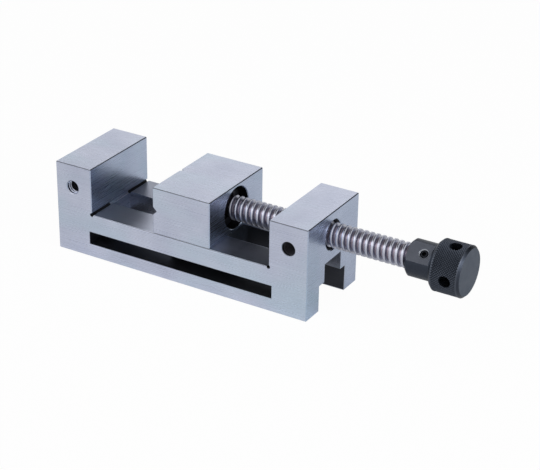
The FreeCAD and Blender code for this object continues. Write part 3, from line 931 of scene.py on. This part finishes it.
@dataclass
class LeadScrew:
    """The lead screw with its collar, neck, thread and spigot.

    Attributes:
        thread: Its thread.
        crest_place: Where a crest of the thread stands upright over the axis.
        neck_radius: Plain neck at the jaw end.
        neck_end: Where the neck runs out into the thread, inside the jaw's rear face.
        lead_in: Length of the chamfer that the thread begins with.
        nose_radius: Pilot nose.
        nose_length: Pilot nose ahead of the collar, through its washer.
        collar_thickness: Thrust collar.
        spigot_radius: End inside the knob.
        spigot_length: End inside the knob.
        flat_distance: Axis to the flat that the set screw presses on.
        flat_start: Where the flat starts, from the shoulder of the spigot.
        chamfer_foot: How far the chamfer of the thread reaches into the neck.
        room: How far the tools that shape the screw clear its thread.
        bevel: Edges of the nose, collar and spigot.
        steps: Faces round the plain parts.
    """

    thread: Thread
    crest_place: float = 20.63
    neck_radius: float = 4.75
    neck_end: float = 2.5
    lead_in: float = 1.2
    nose_radius: float = 4.0
    nose_length: float = 7.05
    collar_thickness: float = 4.0
    spigot_radius: float = 4.5
    spigot_length: float = 18.0
    flat_distance: float = 4.2
    flat_start: float = 2.0
    chamfer_foot: float = 0.3
    room: float = 0.1
    bevel: float = 0.5
    steps: int = 64

    def build(self) -> Piece:
        """Make the screw from its threaded length and its plain ends.

        Returns:
            The screw, in its place.
        """
        low, high = limits("lead_screw")
        height = (low.z + high.z) / 2
        collar_radius = (high.z - low.z) / 2
        collar = low.x + self.nose_length
        rear = collar + self.collar_thickness
        jaw_rear = limits("moving_jaw")[1].x
        start = jaw_rear - self.neck_end
        end = high.x - self.spigot_length
        room = self.thread.outer + self.room
        bevel = self.bevel

        screw = self.thread.rod("threaded_screw", start, end, self.crest_place)
        place(screw, point(0, 0, height))
        tip = self.neck_radius - self.chamfer_foot
        slope = (self.thread.outer - self.neck_radius) / self.lead_in
        chamfer_end = start + (room - tip) / slope
        outline = [(start, 0), (start, tip), (chamfer_end, room), (end, room), (end, 0)]
        sleeve = lathe("sleeve", outline, height, self.steps)
        combine(screw, sleeve, Cut.KEEP_SHARED)
        outline = [
            (low.x, 0),
            (low.x, self.nose_radius - bevel),
            (low.x + bevel, self.nose_radius),
            (collar, self.nose_radius),
            (collar, collar_radius - bevel),
            (collar + bevel, collar_radius),
            (rear - bevel, collar_radius),
            (rear, collar_radius - bevel),
            (rear, self.neck_radius),
            (end - bevel, self.neck_radius),
            (end - bevel, self.spigot_radius),
            (high.x - bevel, self.spigot_radius),
            (high.x, self.spigot_radius - bevel),
            (high.x, 0),
        ]
        core = lathe("core", outline, height, self.steps)
        cutter = flat_cutter(self.spigot_length, self.flat_distance, room)
        lean = (math.radians(FLAT_ANGLE), 0, 0)
        place(cutter, point(end + self.flat_start, 0, height), lean)
        combine(core, cutter, Cut.REMOVE)
        combine(screw, core, Cut.JOIN)
        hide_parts("lead_screw")
        finish_piece(screw, "spindle", THREADED, sharp=40.0)
        return screw


@dataclass
class Knob:
    """The knob: a smooth hub with a flat, and a knurled head with two cross holes.

    Attributes:
        hub_radius: Smooth hub.
        hub_length: Smooth hub.
        bevel: Edges of the knob.
        bore_radius: Bore for the spigot.
        bore_depth: Bore for the spigot.
        knurl_pitch: Distance between the knurl's points.
        knurl_depth: Depth of the knurl's grooves.
        cross_radius: Cross holes for a tommy bar.
        cross_place: Shoulder of the head to the cross holes.
        cross_angle: First cross hole from upright, in degrees about the axis.
        cross_bevel: Mouths of the cross holes.
        cross_steps: Faces round a cross hole.
        flat_distance: Axis to the flat.
        flat_length: Length of the flat.
        tapped_place: End of the hub to the set screw.
        tapped_radius: Hole of the set screw.
        tapped_bevel: Mouth of the set screw's hole.
        tapped_steps: Faces round the set screw's hole.
    """

    hub_radius: float = 9.2
    hub_length: float = 14.0
    bevel: float = 1.2
    bore_radius: float = 4.52
    bore_depth: float = 18.5
    knurl_pitch: float = 1.3
    knurl_depth: float = 0.4
    cross_radius: float = 3.0
    cross_place: float = 8.8
    cross_angle: float = 7.0
    cross_bevel: float = 0.35
    cross_steps: int = 48
    flat_distance: float = 7.5
    flat_length: float = 12.5
    tapped_place: float = 8.3
    tapped_radius: float = 2.03
    tapped_bevel: float = 0.45
    tapped_steps: int = 32

    def build(self) -> Piece:
        """Turn the knob, knurl its head and cut its flat and holes.

        Returns:
            The knob, in its place.
        """
        low, high = limits("clamp_knob")
        height = (low.z + high.z) / 2
        radius = (high.z - low.z) / 2
        shoulder = low.x + self.hub_length
        knurl_start, knurl_end = shoulder + self.bevel, high.x - self.bevel
        rows = 2 * round((knurl_end - knurl_start) / self.knurl_pitch)
        spacing = (knurl_end - knurl_start) / rows
        outline = [
            (low.x + self.bore_depth, 0),
            (low.x + self.bore_depth, self.bore_radius),
            (low.x, self.bore_radius),
            (low.x, self.hub_radius - self.bevel),
            (low.x + self.bevel, self.hub_radius),
            (shoulder, self.hub_radius),
            (shoulder, radius - self.bevel),
            *((knurl_start + spacing * row, radius) for row in range(rows + 1)),
            (high.x, radius - self.bevel),
            (high.x, 0),
        ]
        knob = lathe("knurled_knob", outline, height, self.steps(radius))
        self.knurl(knob, height, radius, (knurl_start, spacing, rows))
        self.cut_flat(knob, low.x, height)
        for turn in (self.cross_angle, self.cross_angle + 90):
            self.cut_cross_hole(knob, shoulder + self.cross_place, height, radius, turn)
        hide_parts("clamp_knob")
        finish_piece(knob, "spindle", BLACKENED, sharp=30.0)
        return knob

    def steps(self, radius: float) -> int:
        """Faces round the turned knob, so that the knurl has two for each of its points."""
        return 4 * round(math.pi * radius / self.knurl_pitch)

    def knurl(self, knob: Piece, height: float, radius: float, band: tuple[float, float, int]) -> None:
        """Press every other point of the head's grid inwards, as a diamond knurl.

        Args:
            knob: The turned knob.
            height: Height of its axis.
            radius: Radius of its head.
            band: Start of the knurl, distance between its rows and number of rows.
        """
        tolerance = 0.05
        start, spacing, rows = band
        steps = self.steps(radius)
        pick(knob)
        edit()
        bpy.ops.mesh.select_all(action="DESELECT")
        bpy.ops.mesh.select_mode(type="VERT")
        mesh = bmesh.from_edit_mesh(knob.data)
        for vertex in mesh.verts:
            across, up = vertex.co.y / MM, vertex.co.z / MM - height
            row = round((vertex.co.x / MM - start) / spacing)
            on_rim = abs(math.hypot(across, up) - radius) < tolerance
            column = round(math.atan2(up, across) / FULL_TURN * steps)
            vertex.select = on_rim and 0 < row < rows and (row + column) % 2 == 1
        knurled = [face for face in mesh.faces if any(v.select for v in face.verts)]
        bmesh.update_edit_mesh(knob.data)
        share = 1 - self.knurl_depth / radius
        axis = point(0, 0, height)
        bpy.ops.transform.resize(value=(1, share, share), center_override=axis)
        mesh = bmesh.from_edit_mesh(knob.data)
        bpy.ops.mesh.select_mode(type="FACE")
        for face in mesh.faces:
            face.select = face in knurled
        bmesh.update_edit_mesh(knob.data)
        bpy.ops.mesh.quads_convert_to_tris(quad_method="SHORTEST_DIAGONAL")
        leave_edit()

    def cut_flat(self, knob: Piece, start: float, height: float) -> None:
        """Mill the flat on the hub and drill the set screw's hole.

        Args:
            knob: The turned knob.
            start: Where the hub begins.
            height: Height of the axis.
        """
        cutter = flat_cutter(self.flat_length, self.flat_distance, self.hub_radius + CLEAR)
        lean = (math.radians(FLAT_ANGLE), 0, 0)
        place(cutter, point(start, 0, height), lean)
        combine(knob, cutter, Cut.REMOVE)

        mouth = self.flat_distance - self.tapped_bevel
        flare = self.tapped_radius + self.tapped_bevel + CLEAR
        top = self.flat_distance + CLEAR
        bore = self.tapped_radius
        outline = [(0, 0), (0, bore), (mouth, bore), (top, flare), (top, 0)]
        drill = lathe("drill", outline, 0.0, self.tapped_steps)
        place(drill, Vector(), (0, -RIGHT_ANGLE, 0))
        place(drill, point(start + self.tapped_place, 0, height), lean)
        combine(knob, drill, Cut.REMOVE)

    def cut_cross_hole(
        self, knob: Piece, middle: float, height: float, radius: float, turn: float
    ) -> None:
        """Drill one cross hole, with its bevelled mouths.

        Args:
            knob: The turned knob.
            middle: Place of the hole along X.
            height: Height of the axis.
            radius: Radius of the head.
            turn: Angle from upright in degrees.
        """
        mouth = radius - self.cross_bevel
        flare = self.cross_radius + self.cross_bevel + CLEAR
        end = radius + CLEAR
        bore = self.cross_radius
        outline = [(-end, 0), (-end, flare), (-mouth, bore), (mouth, bore), (end, flare), (end, 0)]
        drill = lathe("drill", outline, 0.0, self.cross_steps)
        place(drill, Vector(), (0, -RIGHT_ANGLE, 0))
        place(drill, point(middle, 0, height), (math.radians(turn), 0, 0))
        combine(knob, drill, Cut.REMOVE)


@dataclass
class Spindle:
    """What turns: the lead screw, the knob and its set screw.

    Attributes:
        screw: The lead screw.
        knob: The knob.
    """

    screw: LeadScrew
    knob: Knob

    def build(self) -> None:
        """Make the screw and the knob, and dress the set screw."""
        self.screw.build()
        self.knob.build()
        dress("knob_set_screw", OILED)


@dataclass
class SlideJaw:
    """What slides: the moving jaw with its keeper plate and thrust bearing."""

    def build(self) -> None:
        """Dress every solid of the jaw."""
        for node in ("moving_jaw", "keeper_plate"):
            dress(node, GROUND)
        for node in ("retaining_ring", "front_thrust_washer", "rear_thrust_washer"):
            dress(node, BEARING)
        for end in ("front", "rear"):
            dress(f"keeper_washer_{end}", BLACKENED)
            dress(f"keeper_screw_{end}", BLACKENED)


@dataclass
class ViseBase:
    """The vise body with the threads of its holes.

    Attributes:
        nut_thread: The thread that the lead screw runs in.
        crest_place: Where a crest of the lead screw stands upright over the axis.
        block_thickness: Screw block along the ways.
        inner_entry: Chamfer of the screw's hole on the jaw side.
        outer_entry: Chamfer of the screw's hole on the knob side.
        stop_thread: The thread of the work stop holes.
        stop_depth: Depth of the work stop holes.
        stop_mouth: Chamfer of their mouths.
        near_places: The near stop holes, from the two ends of the body.
    """

    nut_thread: Thread
    crest_place: float
    stop_thread: Thread
    block_thickness: float = 21.5
    inner_entry: float = 1.0
    outer_entry: float = 1.8
    stop_depth: float = 12.0
    stop_mouth: float = 0.5
    near_places: tuple[float, float] = (10.0, 10.7)

    def build(self) -> None:
        """Dress the body and cut the threads of its holes."""
        dress("vise_body", GROUND)
        low, high = limits("vise_body")
        screw_low, screw_high = limits("lead_screw")
        height = (screw_low.z + screw_high.z) / 2
        nut = self.nut_thread.ridge(
            "screw_block_thread",
            high.x - self.block_thickness + self.inner_entry,
            high.x - self.outer_entry,
            self.crest_place + self.nut_thread.pitch / 2,
        )
        place(nut, point(0, 0, height))
        finish_piece(nut, "vise_base", TAPPED)

        front, rear = self.near_places
        near_front, near_rear = low.x + front, high.x - rear
        ridge = self.stop_thread.ridge("stop_thread", self.stop_mouth, self.stop_depth, 0.0)
        # The fixed jaw's holes get bright steel threads near their mouths as painted light and painted
        # shade deeper in; the screw block's holes stay dark with painted shade
        for name, x, y, turn, finish in (
            ("near_front", near_front, low.y, RIGHT_ANGLE, GROUND),
            ("near_rear", near_rear, low.y, RIGHT_ANGLE, TAPPED),
            ("far_front", -near_rear, high.y, -RIGHT_ANGLE, GROUND),
            ("far_rear", -near_front, high.y, -RIGHT_ANGLE, TAPPED),
        ):
            copy = duplicate(ridge, f"stop_thread_{name}")
            place(copy, point(x, y, height), (0, 0, turn))
            finish_piece(copy, "vise_base", finish)
        bpy.data.objects.remove(ridge)


# The studio


@dataclass(frozen=True)
class Stand:
    """Something that stands round the vise and faces it.

    Attributes:
        name: Its name.
        bearing: Its direction in degrees from +X towards +Y.
        elevation: Its height over the horizon in degrees.
        distance: Its distance from the vise.
        size: Its width and height.
        power: Power of a lamp in watts, or nothing for a black card.
    """

    name: str
    bearing: float
    elevation: float
    distance: float
    size: tuple[float, float]
    power: float | None = None

    def matrix(self, target: Size) -> Matrix:
        """Work out where it stands.

        Args:
            target: The point that it faces.

        Returns:
            Its place, with -Z towards the vise.
        """
        flat, rise = math.radians(self.bearing), math.radians(self.elevation)
        level = math.cos(rise)
        away = Vector((math.cos(flat) * level, math.sin(flat) * level, math.sin(rise)))
        matrix = away.to_track_quat("Z", "Y").to_matrix().to_4x4()
        matrix.translation = (Vector(target) + away * self.distance) * MM
        return matrix


# Two soft lamps from the front, and two matt black cards that darken the reflections behind
# and over the vise
STANDS = (
    Stand("key", 238.5, 43.0, 1500.0, (1200.0, 850.0), 5.6),
    Stand("back_card", 60.0, 27.0, 2600.0, (2600.0, 2200.0)),
    Stand("fill", 350.0, 26.0, 1500.0, (600.0, 600.0), 6.6),
    Stand("overhead_card", 190.0, 64.0, 2600.0, (6000.0, 1950.0)),
)


@dataclass
class Studio:
    """The camera, the pale floor, the white surroundings and the soft light.

    Attributes:
        azimuth: Direction of the camera from the front, in degrees.
        elevation: Height of the camera over the horizon, in degrees.
        roll: Turn of the camera about its own axis, in degrees.
        target: The point that the camera looks at.
        distance: Camera to that point.
        focal_pixels: Focal length, for an image 540 pixels wide.
        image_width: Width of that image.
        sensor: Width of the camera's sensor.
        nearest: What is nearer to the camera isn't drawn.
        floor_size: Side of the floor.
        floor_drop: How far the floor lies under the vise.
        floor_seen: Share of plain white that the camera sees on the floor.
        floor_mirrored: Share of plain white that metal mirrors from the floor.
        glow: Strength of the light from the surroundings.
    """

    azimuth: float = 30.54
    elevation: float = 26.88
    roll: float = 0.9
    target: Size = (38.13, 0.08, 26.58)
    distance: float = 832.73
    focal_pixels: float = 1686.7
    image_width: float = 540.0
    sensor: float = 36.0
    nearest: float = 10.0
    floor_size: float = 12000.0
    floor_drop: float = 0.05
    floor_seen: float = 0.97
    floor_mirrored: float = 0.3
    glow: float = 0.6

    def build(self) -> None:
        """Set up everything round the vise."""
        self.camera()
        self.floor()
        self.surroundings()
        for stand in STANDS:
            if stand.power is None:
                self.card(stand)
            else:
                self.lamp(stand)
        bpy.context.scene.view_settings.view_transform = "Standard"

    def camera(self) -> None:
        """Put the camera where the photograph was taken from."""
        azimuth, elevation, roll = (
            math.radians(angle) for angle in (self.azimuth, self.elevation, self.roll)
        )
        right = Vector((math.cos(azimuth), math.sin(azimuth), 0))
        level = Vector((math.sin(azimuth), -math.cos(azimuth), 0))
        back = level * math.cos(elevation) + Vector((0, 0, math.sin(elevation)))
        up = back.cross(right)
        image_right = right * math.cos(roll) + up * math.sin(roll)
        image_up = up * math.cos(roll) - right * math.sin(roll)
        matrix = Matrix((image_right, image_up, back)).transposed().to_4x4()
        matrix.translation = (Vector(self.target) + back * self.distance) * MM
        data = bpy.data.cameras.new("camera")
        data.sensor_fit = "HORIZONTAL"
        data.sensor_width = self.sensor
        data.lens = self.sensor * self.focal_pixels / self.image_width
        data.clip_start = self.nearest * MM
        camera = bpy.data.objects.new("camera", data)
        camera.matrix_world = matrix
        bpy.context.scene.collection.objects.link(camera)
        bpy.context.scene.camera = camera

    def white_rays(self, tree: Tree, seen: float, mirrored: float) -> Socket:
        """Give the share of plain white that each kind of ray sees.

        Args:
            tree: The node tree.
            seen: Share for rays from the camera and through glass.
            mirrored: Share for rays from shiny surfaces.

        Returns:
            The share.
        """
        path = add_node(tree, "LightPath", ()).node.outputs
        rays = (path["Is Camera Ray"], path["Is Transmission Ray"])
        direct = add_node(tree, "Math", rays, operation="MAXIMUM")
        plain = add_node(tree, "Math", (direct, seen), operation="MULTIPLY")
        glossy = add_node(tree, "Math", (path["Is Glossy Ray"], mirrored), operation="MULTIPLY")
        return add_node(tree, "Math", (plain, glossy), operation="MAXIMUM")

    def floor(self) -> None:
        """Lay a floor of plain white paper, which keeps the vise's shadow."""
        under = point(0, 0, -self.floor_drop)
        floor = start_mesh("floor", "plane", self.floor_size * MM, under)
        paper = bpy.data.materials.new("white_paper")
        paper.use_nodes = True
        tree = paper.node_tree
        tree.nodes.remove(tree.nodes["Principled BSDF"])
        matt = add_node(tree, "BsdfDiffuse", {"Color": "#F2F2F2"})
        white = add_node(tree, "Emission", {"Color": "#FFFFFF", "Strength": 1.0})
        share = self.white_rays(tree, self.floor_seen, self.floor_mirrored)
        mix = add_node(tree, "MixShader", (share, matt, white))
        tree.links.new(mix, tree.nodes["Material Output"].inputs[0])
        floor.data.materials.append(paper)

    def surroundings(self) -> None:
        """Surround the vise with white, and with a softer white for the light that it gives."""
        world = bpy.data.worlds.new("surroundings")
        world.use_nodes = True
        bpy.context.scene.world = world
        tree = world.node_tree
        tree.nodes.remove(tree.nodes["Background"])
        soft, white = (
            add_node(tree, "Background", {"Color": "#FFFFFF", "Strength": strength})
            for strength in (self.glow, 1.0)
        )
        mix = add_node(tree, "MixShader", (self.white_rays(tree, 1.0, 1.0), soft, white))
        tree.links.new(mix, tree.nodes["World Output"].inputs[0])

    def lamp(self, stand: Stand) -> None:
        """Hang a soft lamp.

        Args:
            stand: Where it hangs, how large it is and its power.
        """
        data = bpy.data.lights.new(stand.name, "AREA")
        data.shape = "RECTANGLE"
        data.size, data.size_y = (side * MM for side in stand.size)
        data.energy = stand.power
        lamp = bpy.data.objects.new(stand.name, data)
        lamp.matrix_world = stand.matrix(self.target)
        bpy.context.scene.collection.objects.link(lamp)

    def card(self, stand: Stand) -> None:
        """Stand a card of black felt in the room, to darken one side of the reflections.

        Args:
            stand: Where it stands and how large it is.
        """
        card = start_mesh(stand.name, "plane", 1.0, Vector())
        width, height = (side * MM for side in stand.size)
        card.matrix_world = stand.matrix(self.target) @ Matrix.Diagonal((width, height, 1.0, 1.0))
        felt = bpy.data.materials.get("black_felt") or bpy.data.materials.new("black_felt")
        felt.use_nodes = True
        shader = felt.node_tree.nodes["Principled BSDF"].inputs
        shader["Base Color"].default_value = linear("#26262A")
        shader["Roughness"].default_value = 0.9
        card.data.materials.append(felt)
        card.visible_camera = False


def main() -> None:
    """Build and dress the vise, and set up the studio."""
    logging.basicConfig(level=logging.INFO, format="%(message)s")
    screw_thread = Thread(pitch=3.175, inner=4.8, outer=6.35)
    screw = LeadScrew(screw_thread)
    nut_thread = Thread(pitch=3.175, inner=4.95, outer=6.43)
    stop_thread = Thread(pitch=1.25, inner=3.15, outer=3.42, flank=30.0, steps=32)
    ViseBase(nut_thread, screw.crest_place, stop_thread).build()
    SlideJaw().build()
    Spindle(screw, Knob()).build()
    Studio().build()


if __name__ == "__main__":
    main()
